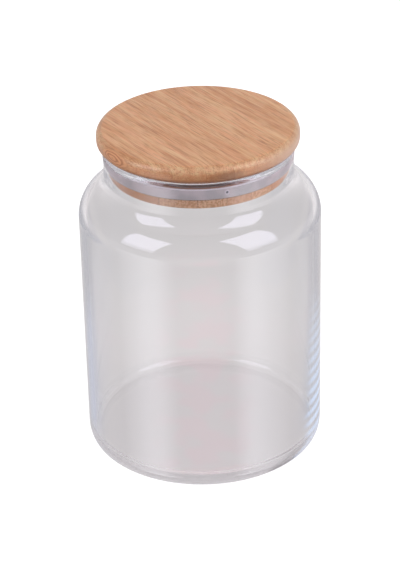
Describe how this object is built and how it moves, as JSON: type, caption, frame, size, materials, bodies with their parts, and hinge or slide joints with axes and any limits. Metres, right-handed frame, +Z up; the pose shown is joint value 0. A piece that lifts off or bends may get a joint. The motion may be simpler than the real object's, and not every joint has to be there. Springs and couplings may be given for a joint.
{
  "type": "glass storage jar",
  "caption": "Clear glass canister with a rounded shoulder and a narrower neck, closed by a push-in bamboo lid with a soft seal ring.",
  "frame": {"origin": "centre of the foot ring, on the surface that the jar stands on", "axes": "+Z up along the jar's axis, +X along the lid's bamboo strips, +Y across them"},
  "size_m": [0.11, 0.11, 0.1572],
  "materials": {
    "clear_glass": "clear, fire-polished, faint waves in the wall",
    "clear_silicone": "translucent, satin",
    "bamboo": "edge-glued strips, sanded, light oil"
  },
  "bodies": {
    "jar": {"glass_jar": "clear_glass"},
    "seal": {"seal_ring": "clear_silicone"},
    "lid": {"lid_strip_1": "bamboo", "lid_strip_2": "bamboo", "lid_strip_3": "bamboo", "lid_strip_4": "bamboo", "lid_strip_5": "bamboo", "lid_strip_6": "bamboo", "lid_strip_7": "bamboo", "lid_strip_8": "bamboo"}
  },
  "joints": [
    {"name": "lid_lift", "type": "slide", "parent": "jar", "child": "seal", "axis": [0, 0, 1], "range_m": [0, 0.05]},
    {"name": "lid_twist", "type": "hinge", "parent": "seal", "child": "lid", "pos_m": [0, 0, 0.1499], "axis": [0, 0, 1], "continuous": true}
  ]
}
